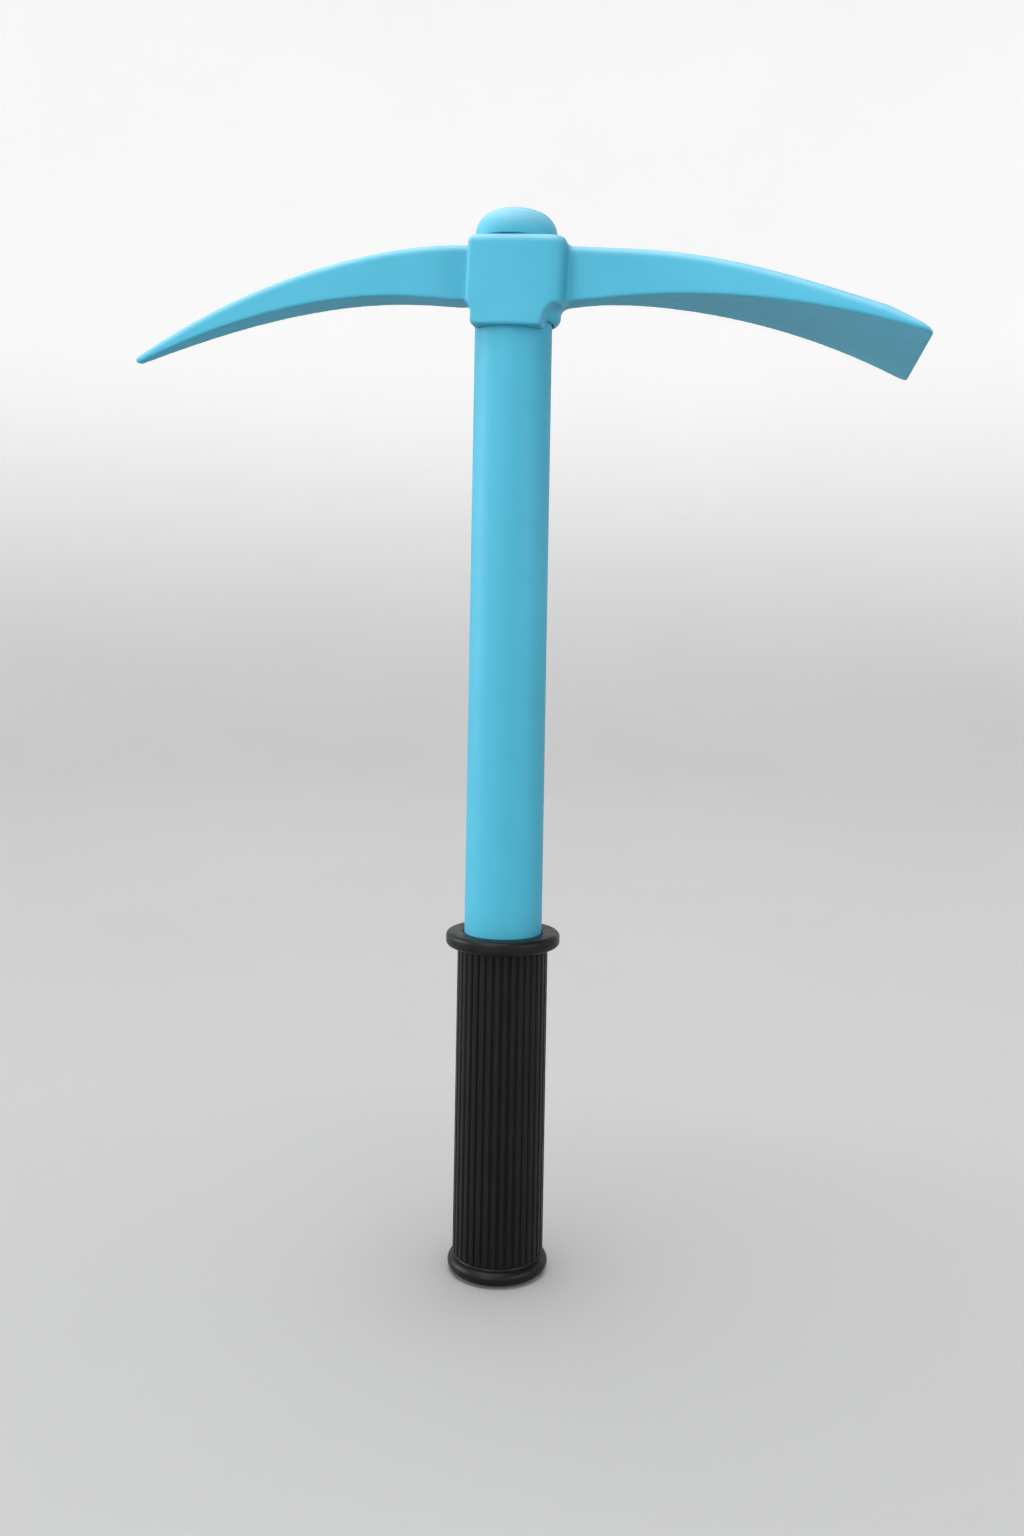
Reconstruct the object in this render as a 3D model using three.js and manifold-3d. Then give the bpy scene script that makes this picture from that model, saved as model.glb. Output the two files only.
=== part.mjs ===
// Hand pick mattock: a forged head with a pick on one side and an adze blade on the other, on a
// painted steel tube handle with a domed cap on top and a fluted rubber grip at the bottom.
//
// Millimetres. +Z runs up the handle, +X points to the adze, -X to the pick. The origin is the
// middle of the flat end of the grip.

import * as THREE from 'three';
import { mergeVertices } from 'three/addons/utils/BufferGeometryUtils.js';
import Module from 'manifold-3d';

const wasm = await Module();
wasm.setup();

// ---------------------------------------------------------------- driving dimensions

const GAP = 0.3;                    // clearance between pieces that touch
const ROUND_SIDES = 72;             // sides of every turned piece, two for each rib of the grip

// Handle tube, 1 1/8 inch steel
const TUBE_R = 14.3;
const TUBE_WALL = 2;
const TUBE_BORE_R = TUBE_R - TUBE_WALL;
const TUBE_TOP = 377.2;

// Rubber grip
const GRIP_TOP = 124.4;
const GRIP_FLOOR = 4;               // closed end under the tube
const GRIP_BODY_R = 15.9;           // at the bottom of the flutes
const RIB_R = 16.65;
const RIB_COUNT = 36;
const RIB_SHARE = 0.6;              // how much of the pitch is rib
const RIB_BOTTOM = 6.4;
const TOP_FLANGE_R = 21;
const TOP_FLANGE_H = 5;
const TOP_FLANGE_EDGE = 1.6;
const END_FLANGE_R = 18.4;
const END_FLANGE_TOP_R = 2.5;       // rounding above its widest line
const END_WIDEST = 3.2;             // height of its widest line
const END_INSET = 4.2;              // how far the closed end curves in below that line

// Plug in the lower end of the tube
const PLUG_FLANGE_R = 14;
const PLUG_FLANGE_H = 2;
const PLUG_LENGTH = 16;
const PLUG_WALL = 2.5;

// Head, drawn in its own frame: u towards the adze, v up, origin where its long axis crosses the
// tube's axis. It hangs a little low on the adze side.
const HEAD_HEIGHT = 366;
const HEAD_DROOP = THREE.MathUtils.degToRad(2.3);
const TINE_TOP = 11.2;
const TINE_BOTTOM = -9.8;
const TINE_HALF = 5.7;              // half thickness of both tines beside the eye
const PICK_TIP = -148.4;
const PICK_TIP_DROP = -33.2;
const PICK_TIP_R = 1.6;
const ADZE_EDGE = 146.2;
const ADZE_HALF = 43.8;             // half width of the cutting edge
const ADZE_CORNER_R = 5.2;
const FLARE_START = 56;             // from here the blade widens in one long curve
const FLARE_START_HALF = 11.2;
const FLARE_BEND = 102;             // where the curve's end tangents meet
const FLARE_BEND_HALF = 24.6;

// Eye block round the tube
const EYE_TOP = 12.3;
const EYE_HALF_DEPTH = 17.5;        // middle of the front and back faces, which bulge
const EYE_CROWN = 0.9;
const EYE_PICK_SIDE = 15;
const EYE_ADZE_SIDE = 20.5;
const EYE_PICK_CORNER_R = 2.5;
const EYE_ADZE_CORNER_R = 5.5;
const EYE_BEVEL = 1.5;
const LUG_PICK_SIDE = 12.5;
const LUG_ADZE_SIDE = 13.8;         // front lug only: the back one is as wide as on the pick side
const LUG_SLANT = 1.2;              // the front lug's adze side leans out by this much
const LUG_SWEEP = 6.6;              // and sweeps up into the shoulder over this height
const LUG_BOTTOM = -20.7;
const LUG_CORNER_R = 1.5;
const SHOULDER = -12.2;             // underside of the block, beside the front lug
const BACK_SHOULDER = -7.5;         // the same beside the back lug, which is cut away higher
const SHOULDER_FILLET = 4.2;
const SHOULDER_CORNER_R = 1.2;
const SKIRT_R = 16.9;               // collar round the tube, behind the lugs
const SKIRT_OFFSET = 1.2;           // thicker on the adze side
const SKIRT_BOTTOM = -17.4;
const SKIRT_EDGE = 3.2;
const GUSSET = SKIRT_R + SKIRT_OFFSET - 0.3;    // where the adze's underside turns down the skirt
const GUSSET_FILLET = 3.6;

// Domed cap on the tube's upper end
const CAP_R = 15.3;
const CAP_STRAIGHT = 2.3;
const CAP_DOME = 9.75;
const CAP_ROUNDNESS = 2.9;          // exponent of the dome's outline: 2 is an ellipse
const CAP_BREAK = THREE.MathUtils.degToRad(6);  // the outline starts this far round, at an edge
const CAP_SPIGOT = 18;

// ---------------------------------------------------------------- colours

const paint = new THREE.MeshStandardMaterial({ color: 0x5dbfde, roughness: 0.42, metalness: 0 });
const rubber = new THREE.MeshStandardMaterial({ color: 0x1b1c1e, roughness: 0.68, metalness: 0 });
const plastic = new THREE.MeshStandardMaterial({ color: 0x2e3033, roughness: 0.55, metalness: 0 });

// ---------------------------------------------------------------- solids

// The closed mesh of a geometry as a solid that can be joined and cut.
function solid(geometry) {
  const bare = geometry.clone();
  bare.deleteAttribute('normal');
  bare.deleteAttribute('uv');
  const merged = mergeVertices(bare, 1e-4);
  const vertProperties = new Float32Array(merged.attributes.position.array);
  const triVerts = new Uint32Array(merged.index.array);
  return new wasm.Manifold(new wasm.Mesh({ numProp: 3, vertProperties, triVerts }));
}

function toGeometry(body) {
  const mesh = body.getMesh();
  const geometry = new THREE.BufferGeometry();
  geometry.setAttribute('position', new THREE.BufferAttribute(mesh.vertProperties, 3));
  geometry.setIndex(new THREE.BufferAttribute(mesh.triVerts, 1));
  geometry.computeVertexNormals();
  return geometry;
}

function namedMesh(name, geometry, material) {
  const mesh = new THREE.Mesh(geometry, material);
  mesh.name = name;
  return mesh;
}

// Turns an outline of (radius, height) points round the Z axis.
function turned(points) {
  const outline = points.map(([r, z]) => new THREE.Vector2(r, z));
  return new THREE.LatheGeometry(outline, ROUND_SIDES).rotateX(Math.PI / 2);
}

// Points on an arc of an outline, from one angle to another, in degrees.
function arc(centreR, centreZ, radius, from, to, steps) {
  const points = [];
  for (let i = 0; i <= steps; i++) {
    const angle = THREE.MathUtils.degToRad(from + ((to - from) * i) / steps);
    points.push([centreR + radius * Math.cos(angle), centreZ + radius * Math.sin(angle)]);
  }
  return points;
}

function cylinder(radius, bottom, top) {
  const height = top - bottom;
  const geometry = new THREE.CylinderGeometry(radius, radius, height, ROUND_SIDES);
  return geometry.rotateX(Math.PI / 2).translate(0, 0, (bottom + top) / 2);
}

// ---------------------------------------------------------------- handle

function handleTube() {
  const bottom = GRIP_FLOOR + GAP + PLUG_FLANGE_H + GAP;
  const wall = [
    [TUBE_BORE_R, bottom], [TUBE_R, bottom], [TUBE_R, TUBE_TOP], [TUBE_BORE_R, TUBE_TOP],
    [TUBE_BORE_R, bottom],
  ];
  return namedMesh('handle_tube', turned(wall), paint);
}

// A flange under the tube's end and a cup-shaped spigot up its bore.
function tubeEndPlug() {
  const bottom = GRIP_FLOOR + GAP;
  const shoulder = bottom + PLUG_FLANGE_H;
  const spigotR = TUBE_BORE_R - GAP;
  const top = shoulder + PLUG_LENGTH;
  const profile = [
    [0, bottom], [PLUG_FLANGE_R, bottom], [PLUG_FLANGE_R, shoulder], [spigotR, shoulder],
    [spigotR, top - 1], [spigotR - 1, top], [spigotR - PLUG_WALL, top],
    [spigotR - PLUG_WALL, shoulder], [0, shoulder],
  ];
  return namedMesh('tube_end_plug', turned(profile), plastic);
}

// The sleeve with its two flanges, turned, before the ribs are added.
function gripShell() {
  const boreR = TUBE_R + GAP;
  const edge = TOP_FLANGE_EDGE;
  const underTop = GRIP_TOP - TOP_FLANGE_H;
  const closedEnd = [[0, 0]];
  for (let angle = 0; angle < 90; angle += 18) {
    const turn = THREE.MathUtils.degToRad(angle);
    closedEnd.push([
      END_FLANGE_R - END_INSET * (1 - Math.sin(turn)), END_WIDEST * (1 - Math.cos(turn)),
    ]);
  }
  return turned([
    ...closedEnd,
    ...arc(END_FLANGE_R - END_FLANGE_TOP_R, END_WIDEST, END_FLANGE_TOP_R, 0, 60, 3),
    [GRIP_BODY_R, RIB_BOTTOM - 0.4],
    [GRIP_BODY_R, underTop],
    ...arc(TOP_FLANGE_R - edge, underTop + edge, edge, -90, 0, 3),
    ...arc(TOP_FLANGE_R - edge, GRIP_TOP - edge, edge, 0, 90, 3),
    [boreR, GRIP_TOP],
    [boreR, GRIP_FLOOR],
    [0, GRIP_FLOOR],
  ]);
}

// A ring of straight ribs, with flat lands and flat-bottomed flutes between them.
function gripRibs() {
  const outline = new THREE.Shape();
  const pitch = (2 * Math.PI) / RIB_COUNT;
  const stops = [[0.1, GRIP_BODY_R], [0.5 - RIB_SHARE / 2 + 0.06, RIB_R],
    [0.5 + RIB_SHARE / 2 - 0.06, RIB_R], [0.9, GRIP_BODY_R]];
  for (let i = 0; i < RIB_COUNT; i++) {
    for (const [share, radius] of stops) {
      const angle = (i + share) * pitch;
      const x = radius * Math.cos(angle);
      const y = radius * Math.sin(angle);
      if (i === 0 && share === stops[0][0]) outline.moveTo(x, y);
      else outline.lineTo(x, y);
    }
  }
  outline.closePath();
  const core = new THREE.Path();
  core.absarc(0, 0, (GRIP_BODY_R + TUBE_R + GAP) / 2, 0, 2 * Math.PI, true);
  outline.holes.push(core);
  const length = GRIP_TOP - TOP_FLANGE_H / 2 - RIB_BOTTOM;
  const shape = new THREE.ExtrudeGeometry(outline, {
    depth: length, bevelEnabled: false, curveSegments: ROUND_SIDES / 2,
  });
  return shape.translate(0, 0, RIB_BOTTOM);
}

function gripSleeve() {
  const body = solid(gripShell()).add(solid(gripRibs()));
  return namedMesh('grip_sleeve', toGeometry(body), rubber);
}

// ---------------------------------------------------------------- head

// Carries the head's own frame into the part's frame.
const headPlace = new THREE.Matrix4().makeRotationY(HEAD_DROOP).setPosition(0, 0, HEAD_HEIGHT);

// An outline in (u, v), drawn out through the head's whole width along Y.
function alongY(outline, halfWidth, curveSegments) {
  const shape = new THREE.ExtrudeGeometry(outline, {
    depth: 2 * halfWidth, bevelEnabled: false, curveSegments,
  });
  return shape.rotateX(Math.PI / 2).translate(0, halfWidth, 0);
}

// Half of an outline in (u, y), mirrored across the head's middle plane.
function mirrored(halfPath, divisions) {
  const upper = halfPath.getPoints(divisions);
  const lower = upper.filter((p) => p.y > 0).map((p) => new THREE.Vector2(p.x, -p.y));
  return new THREE.Shape([...upper, ...lower.reverse()]);
}

// Side view of both tines and of the stretch through the eye.
function tineSideOutline() {
  const root = 18;
  const past = ADZE_EDGE + 2;
  const outline = new THREE.Shape();
  outline.moveTo(-root, TINE_TOP);
  outline.lineTo(root, TINE_TOP);
  outline.bezierCurveTo(67, TINE_TOP, 100, -3.2, 132, -16.4);
  outline.quadraticCurveTo(139.5, -20.9, past, -27.2);
  outline.lineTo(past, -28);
  outline.bezierCurveTo(100, -7.6, 52, -5.2, GUSSET + GUSSET_FILLET, TINE_BOTTOM);
  outline.quadraticCurveTo(GUSSET, TINE_BOTTOM, GUSSET, TINE_BOTTOM - GUSSET_FILLET);
  outline.lineTo(0, TINE_BOTTOM - GUSSET_FILLET);
  outline.lineTo(0, TINE_BOTTOM);
  outline.lineTo(-root, TINE_BOTTOM);
  outline.bezierCurveTo(-27, -11.2, -66, 1.1, PICK_TIP + 2.1, PICK_TIP_DROP - 1.5);
  outline.quadraticCurveTo(PICK_TIP - 0.4, PICK_TIP_DROP - 1.4, PICK_TIP, PICK_TIP_DROP);
  outline.quadraticCurveTo(PICK_TIP + 0.3, PICK_TIP_DROP + 0.9, PICK_TIP + 2, PICK_TIP_DROP + 2);
  outline.bezierCurveTo(-99, -1.7, -50, TINE_TOP, -root, TINE_TOP);
  return outline;
}

// Top view of both tines: the pick swells and tapers, the adze flares to its edge.
function tinePlanOutline() {
  const flare = (ADZE_HALF - FLARE_BEND_HALF) / (ADZE_EDGE - FLARE_BEND);
  const cornerStart = ADZE_EDGE - ADZE_CORNER_R;
  const half = new THREE.Path();
  half.moveTo(PICK_TIP, 0);
  half.quadraticCurveTo(PICK_TIP, 1.4, PICK_TIP + PICK_TIP_R, PICK_TIP_R);
  half.bezierCurveTo(-118, 7.4, -46, 9.4, -EYE_PICK_SIDE, TINE_HALF);
  half.lineTo(32, TINE_HALF + 0.1);
  half.quadraticCurveTo(37.6, TINE_HALF + 0.2, FLARE_START, FLARE_START_HALF);
  half.quadraticCurveTo(FLARE_BEND, FLARE_BEND_HALF, cornerStart, ADZE_HALF - flare * ADZE_CORNER_R);
  half.quadraticCurveTo(ADZE_EDGE, ADZE_HALF, ADZE_EDGE, ADZE_HALF - ADZE_CORNER_R);
  return mirrored(half, 12);
}

// Front view of the eye block: square shoulders above, a narrower lug below.
function eyeFrontOutline(shoulder, lugSide, slant, sweep) {
  const topR = 1.2;
  const outline = new THREE.Shape();
  outline.moveTo(-EYE_PICK_SIDE, EYE_TOP - topR);
  outline.quadraticCurveTo(-EYE_PICK_SIDE, EYE_TOP, -EYE_PICK_SIDE + topR, EYE_TOP);
  outline.lineTo(EYE_ADZE_SIDE - topR, EYE_TOP);
  outline.quadraticCurveTo(EYE_ADZE_SIDE, EYE_TOP, EYE_ADZE_SIDE, EYE_TOP - topR);
  outline.lineTo(EYE_ADZE_SIDE, shoulder + SHOULDER_CORNER_R);
  outline.quadraticCurveTo(EYE_ADZE_SIDE, shoulder, EYE_ADZE_SIDE - SHOULDER_CORNER_R, shoulder);
  outline.quadraticCurveTo(lugSide + slant, shoulder, lugSide, shoulder - sweep);
  outline.lineTo(lugSide, LUG_BOTTOM + LUG_CORNER_R);
  outline.quadraticCurveTo(lugSide, LUG_BOTTOM, lugSide - LUG_CORNER_R, LUG_BOTTOM);
  outline.lineTo(-LUG_PICK_SIDE + LUG_CORNER_R, LUG_BOTTOM);
  outline.quadraticCurveTo(
    -LUG_PICK_SIDE, LUG_BOTTOM, -LUG_PICK_SIDE, LUG_BOTTOM + LUG_CORNER_R,
  );
  outline.lineTo(-LUG_PICK_SIDE, SHOULDER - SHOULDER_FILLET);
  outline.quadraticCurveTo(-LUG_PICK_SIDE, SHOULDER, -EYE_PICK_SIDE, SHOULDER + 1);
  return outline;
}

// Top view of the eye block: crowned front and back faces that roll over into the sides.
function eyePlanOutline() {
  const left = EYE_PICK_CORNER_R - EYE_PICK_SIDE;
  const right = EYE_ADZE_SIDE - EYE_ADZE_CORNER_R;
  const edge = EYE_HALF_DEPTH - EYE_CROWN;
  const lean = (4 * EYE_CROWN) / (right - left);
  const pickTurn = edge - lean * EYE_PICK_CORNER_R;
  const adzeTurn = edge - lean * EYE_ADZE_CORNER_R;
  const half = new THREE.Path();
  half.moveTo(-EYE_PICK_SIDE, 0.5);
  half.lineTo(-EYE_PICK_SIDE, pickTurn - EYE_PICK_CORNER_R);
  half.quadraticCurveTo(-EYE_PICK_SIDE, pickTurn, left, edge);
  half.quadraticCurveTo((left + right) / 2, EYE_HALF_DEPTH + EYE_CROWN, right, edge);
  half.quadraticCurveTo(EYE_ADZE_SIDE, adzeTurn, EYE_ADZE_SIDE, adzeTurn - EYE_ADZE_CORNER_R);
  half.lineTo(EYE_ADZE_SIDE, 0.5);
  return mirrored(half, 8);
}

function eyeBlock() {
  const plan = new THREE.ExtrudeGeometry(eyePlanOutline(), {
    depth: EYE_TOP - LUG_BOTTOM - 2 * EYE_BEVEL,
    bevelThickness: EYE_BEVEL, bevelSize: EYE_BEVEL, bevelOffset: -EYE_BEVEL, bevelSegments: 2,
  }).translate(0, 0, LUG_BOTTOM + EYE_BEVEL);
  const halfDepth = EYE_HALF_DEPTH / 2 + 1;
  const frontOutline = eyeFrontOutline(SHOULDER, LUG_ADZE_SIDE, LUG_SLANT, LUG_SWEEP);
  const backOutline = eyeFrontOutline(BACK_SHOULDER, LUG_PICK_SIDE, 0, SHOULDER_FILLET);
  const front = alongY(frontOutline, halfDepth, 6);
  const back = alongY(backOutline, halfDepth, 6);
  const both = solid(front.translate(0, -halfDepth, 0)).add(solid(back.translate(0, halfDepth, 0)));
  return solid(plan).intersect(both);
}

// The plan, drawn out past the tines' top and bottom, cut to the side view.
function tines() {
  const below = PICK_TIP_DROP - 10;
  const above = TINE_TOP + 10;
  const plan = new THREE.ExtrudeGeometry(tinePlanOutline(), {
    depth: above - below, bevelEnabled: false,
  });
  const side = alongY(tineSideOutline(), ADZE_HALF + 1, 24);
  return solid(side).intersect(solid(plan.translate(0, 0, below)));
}

// The collar of the eye round the tube, with a rounded lower edge.
function skirt() {
  const collar = turned([
    [0, SKIRT_BOTTOM],
    ...arc(SKIRT_R - SKIRT_EDGE, SKIRT_BOTTOM + SKIRT_EDGE, SKIRT_EDGE, -90, 0, 4),
    [SKIRT_R, 6], [0, 6],
  ]);
  return solid(collar.translate(SKIRT_OFFSET, 0, 0));
}

// The bore is square to the part's frame, so it is turned back from the head's.
function eyeBore() {
  return solid(cylinder(TUBE_R + GAP, -40, 40).rotateY(-HEAD_DROOP));
}

function pickHead() {
  const body = eyeBlock().add(skirt()).add(tines()).subtract(eyeBore());
  return namedMesh('pick_head', toGeometry(body).applyMatrix4(headPlace), paint);
}

// ---------------------------------------------------------------- cap

// The dome sits square on the head, and its spigot runs down the tube.
function topCap() {
  const base = EYE_TOP + GAP;
  const spring = base + CAP_STRAIGHT;
  const profile = [[0, base], [CAP_R - 0.5, base], [CAP_R, base + 0.5]];
  const power = 2 / CAP_ROUNDNESS;
  const widest = Math.cos(CAP_BREAK) ** power;
  const low = Math.sin(CAP_BREAK) ** power;
  const steps = 12;
  for (let i = 0; i < steps; i++) {
    const angle = CAP_BREAK + (i / steps) * (Math.PI / 2 - CAP_BREAK);
    profile.push([
      (CAP_R * Math.cos(angle) ** power) / widest,
      spring + (CAP_DOME * (Math.sin(angle) ** power - low)) / (1 - low),
    ]);
  }
  profile.push([0, spring + CAP_DOME]);
  const dome = solid(turned(profile).applyMatrix4(headPlace));
  const spigot = cylinder(TUBE_BORE_R - GAP, TUBE_TOP - CAP_SPIGOT, HEAD_HEIGHT + base + 2);
  return namedMesh('top_cap', toGeometry(dome.add(solid(spigot))), paint);
}

// ---------------------------------------------------------------- the part

const pickMattock = new THREE.Group();
pickMattock.add(pickHead(), topCap(), handleTube(), tubeEndPlug(), gripSleeve());

export default pickMattock;
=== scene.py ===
"""Looks of the hand pick mattock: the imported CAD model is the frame, and finer pieces stand for it.

Sizes are in millimetres and the meshes, lights and camera in metres. The head is worked out in its
own frame: u towards the adze, v up, y towards the back, with the origin on the tube's axis.
"""

import math

import bpy
import numpy as np
from mathutils import Matrix, Vector


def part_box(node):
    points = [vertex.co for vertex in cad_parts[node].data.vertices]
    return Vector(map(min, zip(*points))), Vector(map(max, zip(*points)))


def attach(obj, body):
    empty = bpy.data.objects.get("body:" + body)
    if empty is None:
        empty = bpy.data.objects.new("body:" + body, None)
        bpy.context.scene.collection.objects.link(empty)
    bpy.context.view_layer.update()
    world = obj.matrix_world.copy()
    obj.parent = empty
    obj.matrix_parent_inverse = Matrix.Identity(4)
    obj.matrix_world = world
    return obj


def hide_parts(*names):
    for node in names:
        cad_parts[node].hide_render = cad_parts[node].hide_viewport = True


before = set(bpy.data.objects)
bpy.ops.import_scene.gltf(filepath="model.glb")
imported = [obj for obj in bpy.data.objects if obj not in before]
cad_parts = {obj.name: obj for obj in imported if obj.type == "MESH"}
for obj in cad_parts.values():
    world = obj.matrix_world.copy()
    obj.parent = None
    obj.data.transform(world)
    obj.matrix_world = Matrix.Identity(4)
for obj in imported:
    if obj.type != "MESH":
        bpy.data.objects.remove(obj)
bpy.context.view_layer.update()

MM = 0.001

# ---------------------------------------------------------------- sizes, in millimetres


def node_radius(node):
    """Outer radius of a turned CAD node."""
    low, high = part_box(node)
    return (high.y - low.y) / 2 / MM


def node_height(node):
    """Bottom and top of a CAD node."""
    low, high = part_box(node)
    return low.z / MM, high.z / MM


GAP = 0.3  # clearance wherever two pieces fit together

TUBE_R = node_radius("handle_tube")
TUBE_WALL = 2.0
TUBE_EDGE = 0.3
TUBE_BOTTOM, TUBE_TOP = node_height("handle_tube")

GRIP_TOP = node_height("grip_sleeve")[1]
TOP_FLANGE_R = node_radius("grip_sleeve")
TOP_FLANGE_H = 5.0
TOP_FLANGE_EDGE = 1.6
END_FLANGE_R = 18.4
END_FLANGE_WIDEST = 3.2  # height at which the lower flange reaches its radius
END_FLANGE_EDGE = 2.5
END_INSET = 4.2  # width of the curve from the flat end up to the lower flange
GRIP_FLOOR = 4.0
GRIP_BODY_R = 15.9
RIB_DEPTH = 0.75
RIB_COUNT = 36
STEPS_PER_RIB = 14
RIB_LAND = 0.42  # share of a rib's pitch that is level
RIB_FLANK = 0.38  # share that slopes down to the flute, on both sides together
RIB_BOTTOM = 6.4

HEAD_HEIGHT = 366.0
HEAD_DROOP = math.radians(2.3)
TINE_TOP = 11.2
TINE_BOTTOM = -9.8
TINE_HALF = 5.7
TINE_BEVEL = 1.9
TINE_EDGE_R = 0.5
THIN_SHARE = 0.8  # where a tine gets thin, its bevels are this share of half its thickness
THIN_LEAST = 0.2  # and never less than this
PICK_TIP = -148.4
PICK_TIP_DROP = -33.2
PICK_TIP_R = 1.6
ADZE_EDGE = 146.2
ADZE_HALF = 43.8
ADZE_CORNER_R = 5.2
FLARE_START, FLARE_START_HALF = 56.0, 11.2
FLARE_BEND, FLARE_BEND_HALF = 102.0, 24.6

EYE_TOP = 12.3
EYE_HALF_DEPTH = 17.5
EYE_CROWN = 0.9
EYE_PICK_SIDE = 15.0
EYE_ADZE_SIDE = 20.5
EYE_PICK_CORNER_R = 2.5
EYE_ADZE_CORNER_R = 5.5
EYE_BEVEL = 2.0
EYE_SIDE_BEVEL = 1.0
BEVEL_GROWS = 11.0, 15.0  # how far from the middle the bevel starts to widen, and is at its widest
EYE_EDGE_R = 0.7
TINE_BLEND = 1.8
LUG_PICK_SIDE = 12.5
LUG_ADZE_SIDE = 13.8
LUG_SLANT = 1.2
LUG_SWEEP = 6.6
LUG_BOTTOM = -20.7
LUG_CORNER_R = 1.5
SHOULDER = -12.2
BACK_SHOULDER = -7.5
SHOULDER_FILLET = 4.2
SHOULDER_CORNER_R = 1.2
SKIRT_R = 16.9
SKIRT_OFFSET = 1.2
SKIRT_TOP = 6.0
SKIRT_BOTTOM = -17.4
SKIRT_EDGE = 3.2
GUSSET_FILLET = 3.6
BORE_EDGE = 0.5

CAP_R = 15.3
CAP_STRAIGHT = 2.3
CAP_DOME = 9.7
CAP_EDGE_R = 0.5
CAP_ROUNDNESS = 2.9  # 2 is an ellipse, and more is squarer
CAP_BREAK = math.radians(6)  # how far round the curve the dome starts, so that it leans in at once

# ---------------------------------------------------------------- outlines


def trace(start, *pieces, steps=24):
    """A closed outline. Each piece goes on as a Bezier curve: its control points, then its end."""
    points = [np.array(start, float)]
    for piece in pieces:
        t = np.linspace(0, 1, steps + 1)[1:, None] if len(piece) > 1 else np.ones((1, 1))
        level = [points[-1] + 0 * t] + [np.array(p, float) + 0 * t for p in piece]
        while len(level) > 1:
            level = [(1 - t) * a + t * b for a, b in zip(level, level[1:])]
        points.extend(level[0])
    return np.array(points)


def mirrored(half):
    """Half of an outline in (u, y), closed by its mirror image."""
    other = half[half[:, 1] > 0][::-1] * [1, -1]
    return np.concatenate([half, other])


def tine_side():
    """Side view of both tines and of the stretch through the eye, in (u, v).

    It is level along the eye's root, and runs a little past the adze's edge, where the plan ends it.
    """
    root = 18
    past = ADZE_EDGE + 2
    gusset = SKIRT_R + SKIRT_OFFSET - 1
    tip, drop = PICK_TIP, PICK_TIP_DROP
    return trace(
        (-root, TINE_TOP),
        [(root, TINE_TOP)],
        [(67, TINE_TOP), (100, -3.2), (132, -16.4)],
        [(139.5, -20.9), (past, -27.2)],
        [(past, -28)],
        [(100, -7.6), (52, -5.2), (gusset + GUSSET_FILLET, TINE_BOTTOM)],
        [(-root, TINE_BOTTOM)],
        [(-27, -11.2), (-66, 1.1), (tip + 2.1, drop - 1.5)],
        [(tip - 0.4, drop - 1.4), (tip, drop)],
        [(tip + 0.3, drop + 0.9), (tip + 2, drop + 2)],
        [(-99, -1.7), (-50, TINE_TOP), (-root, TINE_TOP)],
    )


def tine_plan():
    """Top view of both tines: the pick swells and tapers, the adze flares to its edge."""
    flare = (ADZE_HALF - FLARE_BEND_HALF) / (ADZE_EDGE - FLARE_BEND)
    corner = (ADZE_EDGE - ADZE_CORNER_R, ADZE_HALF - flare * ADZE_CORNER_R)
    return mirrored(trace(
        (PICK_TIP, 0),
        [(PICK_TIP, 1.4), (PICK_TIP + PICK_TIP_R, PICK_TIP_R)],
        [(-118, 7.4), (-46, 9.4), (-EYE_PICK_SIDE, TINE_HALF)],
        [(32, TINE_HALF + 0.1)],
        [(37.6, TINE_HALF + 0.2), (FLARE_START, FLARE_START_HALF)],
        [(FLARE_BEND, FLARE_BEND_HALF), corner],
        [(ADZE_EDGE, ADZE_HALF), (ADZE_EDGE, ADZE_HALF - ADZE_CORNER_R)],
    ))


def eye_front(shoulder, lug_side, slant, sweep):
    """Front view of the eye block, in (u, v). Its sides lie past those of the plan."""
    past = 3
    pick, adze = -EYE_PICK_SIDE - past, EYE_ADZE_SIDE + past
    return trace(
        (pick, EYE_TOP),
        [(adze, EYE_TOP)],
        [(adze, shoulder + 2 * past)],
        [(EYE_ADZE_SIDE + 1, shoulder), (EYE_ADZE_SIDE - SHOULDER_CORNER_R, shoulder)],
        [(lug_side + slant, shoulder), (lug_side, shoulder - sweep)],
        [(lug_side, LUG_BOTTOM + LUG_CORNER_R)],
        [(lug_side, LUG_BOTTOM), (lug_side - LUG_CORNER_R, LUG_BOTTOM)],
        [(-LUG_PICK_SIDE + LUG_CORNER_R, LUG_BOTTOM)],
        [(-LUG_PICK_SIDE, LUG_BOTTOM), (-LUG_PICK_SIDE, LUG_BOTTOM + LUG_CORNER_R)],
        [(-LUG_PICK_SIDE, SHOULDER - SHOULDER_FILLET)],
        [(-LUG_PICK_SIDE, SHOULDER), (pick, SHOULDER + 1)],
    )


def eye_plan():
    """Top view of the eye block: crowned front and back faces that roll over into the sides."""
    pick, adze = -EYE_PICK_SIDE, EYE_ADZE_SIDE
    left, right = pick + EYE_PICK_CORNER_R, adze - EYE_ADZE_CORNER_R
    edge = EYE_HALF_DEPTH - EYE_CROWN
    lean = 4 * EYE_CROWN / (right - left)
    pick_turn = edge - lean * EYE_PICK_CORNER_R
    adze_turn = edge - lean * EYE_ADZE_CORNER_R
    return mirrored(trace(
        (pick, 0.5),
        [(pick, pick_turn - EYE_PICK_CORNER_R)],
        [(pick, pick_turn), (left, edge)],
        [((left + right) / 2, EYE_HALF_DEPTH + EYE_CROWN), (right, edge)],
        [(adze, adze_turn), (adze, adze_turn - EYE_ADZE_CORNER_R)],
        [(adze, 0.5)],
    ))


# ---------------------------------------------------------------- distance fields
# A field holds the distance to a shape's surface, negative inside, at every point of a grid.


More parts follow.
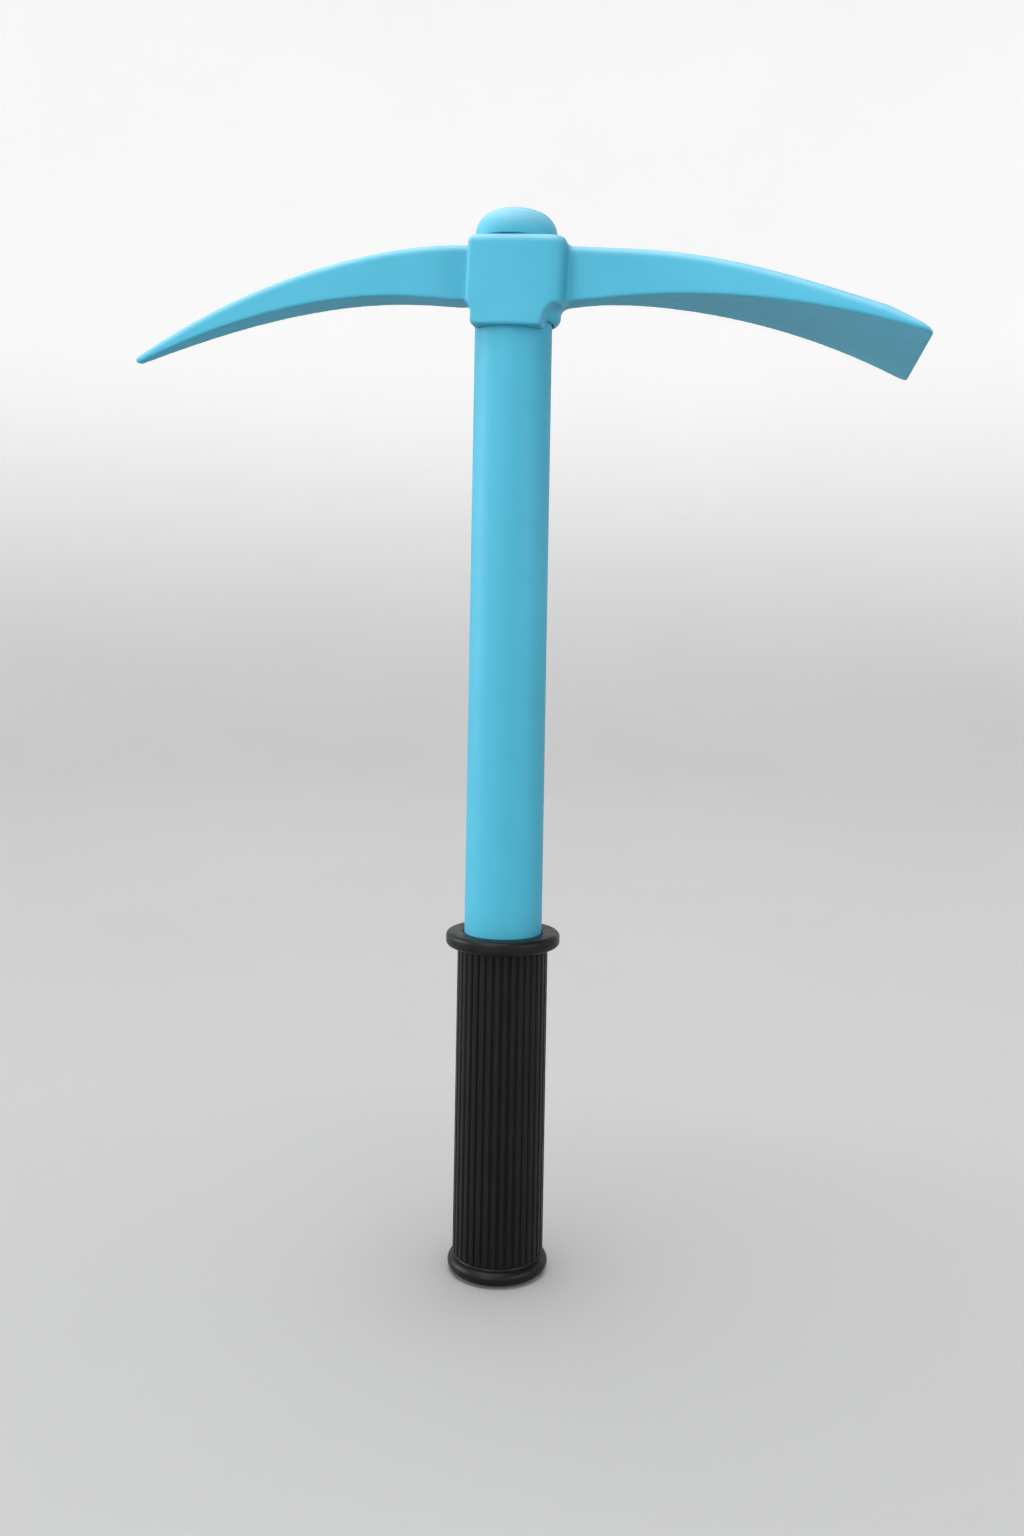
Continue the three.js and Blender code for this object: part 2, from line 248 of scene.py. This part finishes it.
def outline_distance(x, y, outline):
    """Distance to a closed outline, negative inside."""
    nearest = np.full(x.shape, np.inf)
    inside = np.zeros(x.shape, bool)
    for (ax, ay), (bx, by) in zip(outline, np.roll(outline, -1, axis=0)):
        ex, ey = bx - ax, by - ay
        length2 = ex * ex + ey * ey
        if length2 == 0:
            continue
        wx, wy = x - ax, y - ay
        t = np.clip((wx * ex + wy * ey) / length2, 0, 1)
        nearest = np.minimum(nearest, (wx - ex * t) ** 2 + (wy - ey * t) ** 2)
        if ey != 0:
            inside ^= ((ay > y) != (by > y)) & (wx < wy * ex / ey)
    return np.where(inside, -1, 1) * np.sqrt(nearest)


def meet(a, b, r):
    """What two shapes share, with the edge between them rounded to radius r."""
    a, b = a + r, b + r
    return np.minimum(np.maximum(a, b), 0) + np.hypot(np.maximum(a, 0), np.maximum(b, 0)) - r


def join(a, b, r):
    """Two shapes together, with a fillet of radius r between them."""
    return -meet(-a, -b, r)


def chamfer(solid, a, b, width, r):
    """The solid with the edge where a meets b cut off flat, and both new edges softened."""
    return meet(solid, (a + b + width) / math.sqrt(2), r)


def tine_field(uv, uy, v):
    """Both tines: broad bevels along their upper edges, crisp lower edges."""
    side = outline_distance(*uv, tine_side())
    plan = outline_distance(*uy, tine_plan())
    middle = v[side.argmin(axis=1)]
    upper = np.clip(0.5 + v[None, :] - middle[:, None], 0, 1)[:, None, :]
    thin = THIN_SHARE * np.minimum(-side.min(axis=1), -plan.min(axis=1))[:, None, None]
    side, plan = side[:, None, :], plan[:, :, None]
    body = meet(side, plan, np.clip(thin, THIN_LEAST, TINE_EDGE_R))
    bevel = np.clip(thin, THIN_LEAST, TINE_BEVEL) * (2 * upper - 1)
    return chamfer(body, side, plan, bevel, np.clip(thin / 2, THIN_LEAST / 2, EYE_EDGE_R))


def block_field(uv, uy, across, up):
    """The eye block. Its front outline turns into its back outline within the tines' width."""
    front = outline_distance(*uv, eye_front(SHOULDER, LUG_ADZE_SIDE, LUG_SLANT, LUG_SWEEP))
    back = outline_distance(*uv, eye_front(BACK_SHOULDER, LUG_PICK_SIDE, 0, SHOULDER_FILLET))
    share = np.clip(0.5 + across / (2 * TINE_HALF), 0, 1)
    face = front[:, None, :] * (1 - share) + back[:, None, :] * share
    plan = outline_distance(*uy, eye_plan())[:, :, None]
    start, end = BEVEL_GROWS
    near_face = np.clip((np.abs(across) - start) / (end - start), 0, 1)
    bevel = EYE_SIDE_BEVEL + (EYE_BEVEL - EYE_SIDE_BEVEL) * near_face
    return chamfer(meet(face, plan, EYE_EDGE_R), up - EYE_TOP, plan, bevel, EYE_EDGE_R)


def head_field(u, y, v):
    """The whole head, over the grid that three axes span."""
    uv = np.meshgrid(u, v, indexing="ij")
    uy = np.meshgrid(u, y, indexing="ij")
    along, across, up = u[:, None, None], y[None, :, None], v[None, None, :]
    tines = tine_field(uv, uy, v)
    block = block_field(uv, uy, across, up)

    collar = np.hypot(along - SKIRT_OFFSET, across) - SKIRT_R
    skirt = np.maximum(meet(collar, SKIRT_BOTTOM - up, SKIRT_EDGE), up - SKIRT_TOP)

    solid = np.minimum(join(block, tines, TINE_BLEND), join(skirt, tines, GUSSET_FILLET))
    from_axis = along * math.cos(HEAD_DROOP) + up * math.sin(HEAD_DROOP)
    bore = np.hypot(from_axis, across) - TUBE_R - GAP
    return meet(solid, -bore, BORE_EDGE)


# ---------------------------------------------------------------- from field to mesh


def surface_net(field):
    """Vertices, in grid steps, and quads of the field's zero level, one vertex for each cell."""
    cells = tuple(n - 1 for n in field.shape)
    total = np.zeros(cells + (3,), np.float32)
    count = np.zeros(cells, np.float32)
    crossings = []
    for d in range(3):
        a = np.take(field, range(cells[d]), axis=d)
        b = np.take(field, range(1, cells[d] + 1), axis=d)
        crossed = (a < 0) != (b < 0)
        step = np.where(crossed, a / np.where(crossed, a - b, 1), 0)
        e, f = [k for k in range(3) if k != d]
        crossings.append((d, e, f, crossed, a < 0))
        for i in (0, 1):
            for j in (0, 1):
                window = [slice(None)] * 3
                window[e] = slice(i, i + cells[e])
                window[f] = slice(j, j + cells[f])
                here = crossed[tuple(window)]
                count += here
                total[..., d] += step[tuple(window)]
                total[..., e] += i * here
                total[..., f] += j * here
    used = count > 0
    index = np.full(cells, -1)
    index[used] = np.arange(used.sum())
    vertices = np.argwhere(used) + total[used] / count[used][:, None]
    return vertices, np.concatenate([net_quads(index, *c) for c in crossings])


def net_quads(index, d, e, f, crossed, starts_inside):
    """The quads round the grid lines along axis d that cross the surface."""
    at = np.argwhere(crossed)
    at = at[(at[:, e] > 0) & (at[:, f] > 0)]
    at = at[(at[:, e] < index.shape[e]) & (at[:, f] < index.shape[f])]
    corners = []
    for back_e, back_f in ((1, 1), (0, 1), (0, 0), (1, 0)):
        cell = at.copy()
        cell[:, e] -= back_e
        cell[:, f] -= back_f
        corners.append(index[tuple(cell.T)])
    quads = np.stack(corners, axis=1)
    outward = starts_inside[tuple(at.T)] != (d == 1)
    quads[~outward] = quads[~outward][:, ::-1]
    return quads


def slopes_at(field, vertices):
    """The field's slope at each vertex, which is the surface's normal."""
    base = np.minimum(vertices.astype(int), np.array(field.shape) - 2)
    part = vertices - base
    slope = np.stack(np.gradient(field), axis=-1)
    found = np.zeros((len(vertices), 3))
    for corner in np.ndindex(2, 2, 2):
        share = np.prod(np.where(corner, part, 1 - part), axis=1)
        found += share[:, None] * slope[tuple((base + corner).T)]
    return found / np.linalg.norm(found, axis=1, keepdims=True)


HEAD_PLACE = Matrix.Translation((0, 0, HEAD_HEIGHT * MM)) @ Matrix.Rotation(HEAD_DROOP, 4, "Y")


def head_mesh():
    """The head's surface, found on a grid of cells and turned down by its droop."""
    cell = 0.6
    margin = 2.1
    u = np.arange(PICK_TIP - margin, ADZE_EDGE + margin, cell)
    y = np.arange(-ADZE_HALF - margin, ADZE_HALF + margin, cell)
    v = np.arange(PICK_TIP_DROP - 2 * margin, EYE_TOP + margin, cell)
    field = head_field(u, y, v).astype(np.float32)
    vertices, quads = surface_net(field)
    normals = slopes_at(field, vertices)
    places = (vertices * cell + [u[0], y[0], v[0]]) * MM
    mesh = bpy.data.meshes.new("head")
    mesh.from_pydata(places.tolist(), [], quads.tolist())
    mesh.polygons.foreach_set("use_smooth", [True] * len(quads))
    mesh.normals_split_custom_set_from_vertices(normals.tolist())
    mesh.transform(HEAD_PLACE)
    mesh.update()
    return mesh


# ---------------------------------------------------------------- turned pieces

SHARP_ANGLE = math.radians(40)


def arc(centre_r, centre_z, radius, start, end, steps=8):
    """Points on an arc of a profile, with its angles in degrees."""
    angles = np.radians(np.linspace(start, end, steps + 1))
    return [(centre_r + radius * math.cos(a), centre_z + radius * math.sin(a)) for a in angles]


def turned_mesh(name, profile, sides=160, ripple=None):
    """A profile of (radius, height) points, in millimetres, turned round the Z axis.

    ripple(angles) is added to the radius, by the share that a point's third number gives.
    """
    angles = np.linspace(0, 2 * math.pi, sides, endpoint=False)
    wave = ripple(angles) if ripple else np.zeros(sides)
    vertices, rings = [], []
    for point in profile:
        r, z = point[:2]
        share = point[2] if len(point) > 2 else 0
        if r == 0:
            rings.append([len(vertices)] * sides)
            vertices.append((0, 0, z * MM))
            continue
        rings.append(list(range(len(vertices), len(vertices) + sides)))
        for a, w in zip(angles, wave):
            here = (r + share * w) * MM
            vertices.append((here * math.cos(a), here * math.sin(a), z * MM))
    faces = []
    for lower, upper in zip(rings, rings[1:]):
        for i in range(sides):
            j = (i + 1) % sides
            face = [lower[i], lower[j], upper[j], upper[i]]
            faces.append(list(dict.fromkeys(face)))
    mesh = bpy.data.meshes.new(name)
    mesh.from_pydata(vertices, [], faces)
    mesh.polygons.foreach_set("use_smooth", [True] * len(faces))
    mesh.set_sharp_from_angle(angle=SHARP_ANGLE)
    return mesh


def tube_mesh():
    """A plain tube with both its outer edges broken."""
    bore = TUBE_R - TUBE_WALL
    profile = [
        (bore, TUBE_BOTTOM), (TUBE_R - TUBE_EDGE, TUBE_BOTTOM), (TUBE_R, TUBE_BOTTOM + TUBE_EDGE),
        (TUBE_R, TUBE_TOP - TUBE_EDGE), (TUBE_R - TUBE_EDGE, TUBE_TOP), (bore, TUBE_TOP),
        (bore, TUBE_BOTTOM),
    ]
    return turned_mesh("tube", profile)


def cap_mesh():
    """The domed part of the cap, square on the head. Its spigot would be hidden in the tube."""
    base = EYE_TOP + GAP
    spring = base + CAP_STRAIGHT
    profile = [(0, base), *arc(CAP_R - CAP_EDGE_R, base + CAP_EDGE_R, CAP_EDGE_R, -90, 0, 4)]
    power = 2 / CAP_ROUNDNESS
    widest = math.cos(CAP_BREAK) ** power
    low = math.sin(CAP_BREAK) ** power
    for t in np.linspace(CAP_BREAK, math.pi / 2, 33)[:-1]:
        profile.append((
            CAP_R * math.cos(t) ** power / widest,
            spring + CAP_DOME * (math.sin(t) ** power - low) / (1 - low),
        ))
    profile.append((0, spring + CAP_DOME))
    mesh = turned_mesh("cap", profile)
    mesh.transform(HEAD_PLACE)
    return mesh


def grip_mesh():
    """The ribbed sleeve with its two flanges, closed at the bottom."""
    bore = TUBE_R + GAP
    closed_end = [(0, 0)]
    for a in np.linspace(0, math.pi / 2, 13):
        inset = END_INSET * (1 - math.sin(a))
        closed_end.append((END_FLANGE_R - inset, END_FLANGE_WIDEST * (1 - math.cos(a))))
    end_rim = END_FLANGE_R - END_FLANGE_EDGE
    end_flange = arc(end_rim, END_FLANGE_WIDEST, END_FLANGE_EDGE, 0, 62, 9)[1:]

    under = GRIP_TOP - TOP_FLANGE_H
    rim = TOP_FLANGE_R - TOP_FLANGE_EDGE
    rib_start = [
        (GRIP_BODY_R + 0.25, RIB_BOTTOM - 0.75), (GRIP_BODY_R, RIB_BOTTOM - 0.3),
        (GRIP_BODY_R, RIB_BOTTOM, 0), (GRIP_BODY_R, RIB_BOTTOM + 0.2, 0.5),
        (GRIP_BODY_R, RIB_BOTTOM + 0.5, 0.87),
    ]
    ribs = [(GRIP_BODY_R, z, 1) for z in np.linspace(RIB_BOTTOM + 0.9, under - 0.6, 12)]
    rib_end = [
        (GRIP_BODY_R + 0.1, under - 0.2, 0.95), (GRIP_BODY_R + 0.5, under, 0.6),
        (GRIP_BODY_R + 1.4, under),
    ]
    top_flange = [
        *arc(rim, under + TOP_FLANGE_EDGE, TOP_FLANGE_EDGE, -90, 0),
        *arc(rim, GRIP_TOP - TOP_FLANGE_EDGE, TOP_FLANGE_EDGE, 0, 90),
    ]
    mouth = [
        (bore + 0.6, GRIP_TOP), (bore + 0.15, GRIP_TOP - 0.15), (bore, GRIP_TOP - 0.6),
        (bore, GRIP_FLOOR), (0, GRIP_FLOOR),
    ]
    profile = closed_end + end_flange + rib_start + ribs + rib_end + top_flange + mouth
    return turned_mesh("grip", profile, sides=RIB_COUNT * STEPS_PER_RIB, ripple=rib_wave)


def rib_wave(angles):
    """Height of the ribs round the grip: rounded lands with narrower flutes between them."""
    across = np.abs((angles * RIB_COUNT / (2 * math.pi)) % 1 - 0.5) * 2
    return RIB_DEPTH * (1 - np.clip((across - RIB_LAND) / RIB_FLANK, 0, 1) ** 2)


# ---------------------------------------------------------------- materials

NOISE_LOW, NOISE_HIGH = 0.3, 0.7  # nearly all of a noise texture's values lie between these
LOW_SHINE = 0.2  # specular level of the paint and the rubber, where 0.5 is usual
MIX_FIRST, MIX_SECOND, MIX_RESULT = 6, 7, 2  # the Mix node's colour sockets, which share their names

# Each colour is a pair, and a noise moves between the two.
PAINT = (0.052, 0.325, 0.460), (0.056, 0.347, 0.488)
# The lighter blue is a painted highlight, mixed in where the paint faces up, standing for light from
# above.
PAINTED_TOP_HIGHLIGHT = (0.28, 0.47, 0.57), (0.34, 0.52, 0.61)
RUBBER = (0.0028, 0.0032, 0.0037), (0.0048, 0.0053, 0.006)
PLASTIC = (0.024, 0.026, 0.03), (0.032, 0.034, 0.038)
PAPER = (0.72, 0.72, 0.72), (0.74, 0.74, 0.74)


class Surface:
    """A material whose nodes are added one by one, in the object's own coordinates."""

    def __init__(self, name, roughness):
        self.material = bpy.data.materials.new(name)
        self.material.use_nodes = True
        self.tree = self.material.node_tree
        self.shader = self.tree.nodes["Principled BSDF"]
        self.shader.inputs["Roughness"].default_value = roughness
        source = self.tree.nodes.new("ShaderNodeTexCoord")
        self.coordinates = source.outputs["Object"]
        self.normal = source.outputs["Normal"]

    def noise(self, scale, detail):
        """Noise of so many features per metre."""
        texture = self.tree.nodes.new("ShaderNodeTexNoise")
        texture.inputs["Scale"].default_value = scale
        texture.inputs["Detail"].default_value = detail
        self.tree.links.new(self.coordinates, texture.inputs["Vector"])
        return texture.outputs["Fac"]

    def ramp(self, noise, low, high):
        """Colours from low to high over the range of a noise."""
        node = self.tree.nodes.new("ShaderNodeValToRGB")
        first, last = node.color_ramp.elements
        first.position, last.position = NOISE_LOW, NOISE_HIGH
        first.color, last.color = (*low, 1), (*high, 1)
        self.tree.links.new(noise, node.inputs["Fac"])
        return node.outputs["Color"]

    def spread(self, noise, low, high):
        """Numbers from low to high over the range of a noise."""
        node = self.tree.nodes.new("ShaderNodeMapRange")
        node.inputs["From Min"].default_value = NOISE_LOW
        node.inputs["From Max"].default_value = NOISE_HIGH
        node.inputs["To Min"].default_value = low
        node.inputs["To Max"].default_value = high
        self.tree.links.new(noise, node.inputs["Value"])
        return node.outputs["Result"]

    def facing_up(self, start, end, most):
        """A share that grows to its most as the surface turns to face upwards."""
        normal = self.tree.nodes.new("ShaderNodeSeparateXYZ")
        self.tree.links.new(self.normal, normal.inputs["Vector"])
        node = self.tree.nodes.new("ShaderNodeMapRange")
        node.inputs["From Min"].default_value = start
        node.inputs["From Max"].default_value = end
        node.inputs["To Max"].default_value = most
        self.tree.links.new(normal.outputs["Z"], node.inputs["Value"])
        return node.outputs["Result"]

    def mix(self, share, first, second):
        """The first colour, turning into the second as the share grows."""
        node = self.tree.nodes.new("ShaderNodeMix")
        node.data_type = "RGBA"
        self.tree.links.new(share, node.inputs["Factor"])
        self.tree.links.new(first, node.inputs[MIX_FIRST])
        self.tree.links.new(second, node.inputs[MIX_SECOND])
        return node.outputs[MIX_RESULT]

    def bump(self, height, distance, strength, under=None):
        """A normal that follows a height, on top of another bump if one is given."""
        node = self.tree.nodes.new("ShaderNodeBump")
        node.inputs["Distance"].default_value = distance
        node.inputs["Strength"].default_value = strength
        self.tree.links.new(height, node.inputs["Height"])
        if under:
            self.tree.links.new(under, node.inputs["Normal"])
        return node.outputs["Normal"]

    def set(self, name, output):
        """Feeds a node's output to one of the shader's inputs."""
        self.tree.links.new(output, self.shader.inputs[name])


def powder_coat():
    """Satin light blue powder coat: the fine ripple of cured powder, with a painted highlight that
    lightens it where it faces up.
    """
    paint = Surface("powder_coat", 0.5)
    paint.shader.inputs["Specular IOR Level"].default_value = LOW_SHINE
    clean = paint.ramp(paint.noise(35, 3), *PAINT)
    # Painted highlight: paint that faces up is mixed towards a lighter blue, as if lit from above.
    highlight_colour = paint.ramp(paint.noise(90, 4), *PAINTED_TOP_HIGHLIGHT)
    highlight_share = paint.facing_up(start=0.0, end=0.45, most=0.35)
    paint.set("Base Color", paint.mix(highlight_share, clean, highlight_colour))
    paint.set("Roughness", paint.spread(paint.noise(160, 3), 0.46, 0.54))
    ripple = paint.bump(paint.noise(520, 2), distance=0.00004, strength=0.35)
    grain = paint.bump(paint.noise(1700, 2), distance=0.000015, strength=0.3, under=ripple)
    paint.set("Normal", grain)
    return paint.material


def moulded_rubber():
    """Black rubber with a low sheen, a fine grain and a faint bloom."""
    rubber = Surface("moulded_rubber", 0.6)
    rubber.shader.inputs["Specular IOR Level"].default_value = LOW_SHINE
    rubber.set("Base Color", rubber.ramp(rubber.noise(60, 4), *RUBBER))
    rubber.set("Roughness", rubber.spread(rubber.noise(220, 3), 0.36, 0.48))
    grain = rubber.bump(rubber.noise(2600, 3), distance=0.00003, strength=0.4)
    ripple = rubber.bump(rubber.noise(420, 2), distance=0.00003, strength=0.25, under=grain)
    rubber.set("Normal", ripple)
    return rubber.material


def moulded_plastic():
    """Black plastic, slightly mottled and finely grained."""
    plastic = Surface("moulded_plastic", 0.55)
    plastic.set("Base Color", plastic.ramp(plastic.noise(90, 3), *PLASTIC))
    grain = plastic.bump(plastic.noise(2000, 2), distance=0.00002, strength=0.3)
    plastic.set("Normal", grain)
    return plastic.material


def studio_paper(glow, glow_top):
    """Matt paper with a painted glow of its own, from nothing at the floor to its most at glow_top.
    """
    paper = Surface("studio_paper", 0.9)
    paper.set("Base Color", paper.ramp(paper.noise(3, 2), *PAPER))
    place = paper.tree.nodes.new("ShaderNodeSeparateXYZ")
    paper.tree.links.new(paper.coordinates, place.inputs["Vector"])
    rise = paper.tree.nodes.new("ShaderNodeMapRange")
    rise.interpolation_type = "SMOOTHSTEP"
    rise.inputs["From Max"].default_value = glow_top
    rise.inputs["To Max"].default_value = glow
    paper.tree.links.new(place.outputs["Z"], rise.inputs["Value"])
    # Painted glow: the paper itself emits white light, rising up the wall, with no lamp behind it.
    paper.shader.inputs["Emission Color"].default_value = (1, 1, 1, 1)
    paper.set("Emission Strength", rise.outputs["Result"])
    return paper.material


# ---------------------------------------------------------------- the pieces

tool = bpy.data.collections.new("tool")  # only for the lights, to tell it from its surroundings


def finish_piece(name, mesh, node, material):
    """Puts a mesh in the scene as the piece that stands for a CAD node."""
    mesh.materials.append(material)
    piece = bpy.data.objects.new(name, mesh)
    bpy.context.scene.collection.objects.link(piece)
    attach(piece, "root")
    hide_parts(node)
    tool.objects.link(piece)


coat = powder_coat()
finish_piece("head", head_mesh(), "pick_head", coat)
finish_piece("cap", cap_mesh(), "top_cap", coat)
finish_piece("tube", tube_mesh(), "handle_tube", coat)
finish_piece("grip", grip_mesh(), "grip_sleeve", moulded_rubber())
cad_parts["tube_end_plug"].material_slots[0].material = moulded_plastic()

# ---------------------------------------------------------------- studio


def backdrop():
    """A round pale floor whose edge curves up into a wall on every side."""
    inner_r, floor_r, bend_r, wall_top = 0.6, 1.7, 0.9, 1.9
    # strength of the backdrop's painted glow
    glow = 0.4
    profile = [(0, 0), (inner_r, 0), (floor_r, 0)]
    for a in np.radians(np.linspace(0, 90, 25)[1:]):
        profile.append((floor_r + bend_r * math.sin(a), bend_r * (1 - math.cos(a))))
    profile.append((floor_r + bend_r, wall_top))
    mesh = turned_mesh("backdrop", [(r / MM, z / MM) for r, z in profile], sides=96)
    mesh.materials.append(studio_paper(glow, bend_r))
    sheet = bpy.data.objects.new("backdrop", mesh)
    bpy.context.scene.collection.objects.link(sheet)
    surroundings = bpy.data.collections.new("surroundings")
    surroundings.objects.link(sheet)
    return surroundings


def soft_light(name, place, target, size, power, receivers):
    """A round soft box that lights only the objects in a collection."""
    light = bpy.data.lights.new(name, "AREA")
    light.shape = "DISK"
    light.size = size
    light.energy = power
    lamp = bpy.data.objects.new(name, light)
    lamp.location = place
    lamp.rotation_euler = (Vector(target) - Vector(place)).to_track_quat("-Z", "Y").to_euler()
    lamp.visible_camera = False
    lamp.light_linking.receiver_collection = receivers
    bpy.context.scene.collection.objects.link(lamp)


def world_light(strength):
    """An even white light from all round."""
    world = bpy.data.worlds.new("studio")
    world.use_nodes = True
    world.node_tree.nodes["Background"].inputs["Color"].default_value = (1, 1, 1, 1)
    world.node_tree.nodes["Background"].inputs["Strength"].default_value = strength
    bpy.context.scene.world = world


def camera():
    """Level with the bare tube and a little to the right. It leans, so that the tool leans too."""
    yaw = math.radians(10.5)
    lean = math.radians(1.007)
    distance, height, aside = 0.5, 0.2357, 0.0014
    sensor, focal_length = 36, 31.640625
    across = Vector((math.cos(yaw), math.sin(yaw), 0))
    ahead = Vector((-math.sin(yaw), math.cos(yaw), 0))
    up = Vector((0, 0, 1))
    right = across * math.cos(lean) + up * math.sin(lean)
    above = up * math.cos(lean) - across * math.sin(lean)
    data = bpy.data.cameras.new("camera")
    data.sensor_width = sensor
    data.lens = focal_length
    data.shift_y = -0.0898
    eye = bpy.data.objects.new("camera", data)
    eye.matrix_world = Matrix((
        (right.x, above.x, -ahead.x, 0),
        (right.y, above.y, -ahead.y, 0),
        (right.z, above.z, -ahead.z, 0),
        (0, 0, 0, 1),
    ))
    eye.location = -ahead * distance + across * aside + up * height
    bpy.context.scene.collection.objects.link(eye)
    bpy.context.scene.camera = eye


surroundings = backdrop()
# Each lamp: its name, its place, where it points, its width, its power and what it lights.
soft_light("front", (-0.35, -1.6, 0.35), (0, 0, 0.28), 1.0, 6.8, tool)
soft_light("front_high", (-0.5, -1.4, 1.1), (0, 0, 0.3), 0.9, 5.5, tool)
soft_light("side", (-1.6, -0.1, 0.6), (0, 0, 0.25), 1.0, 19, tool)
soft_light("fill", (1.35, -0.75, 0.5), (0, 0, 0.25), 1.0, 7.2, tool)
soft_light("top_front", (-0.2, -0.6, 1.5), (0, 0, 0.35), 0.9, 11, tool)
soft_light("top_back", (-0.2, 0.15, 1.1), (0, 0, 0.35), 0.9, 6.5, tool)
soft_light("overhead", (0, 0, 3), (0, 0, 0), 2.5, 56, surroundings)
world_light(0.05)
camera()
bpy.context.scene.view_settings.view_transform = "Standard"
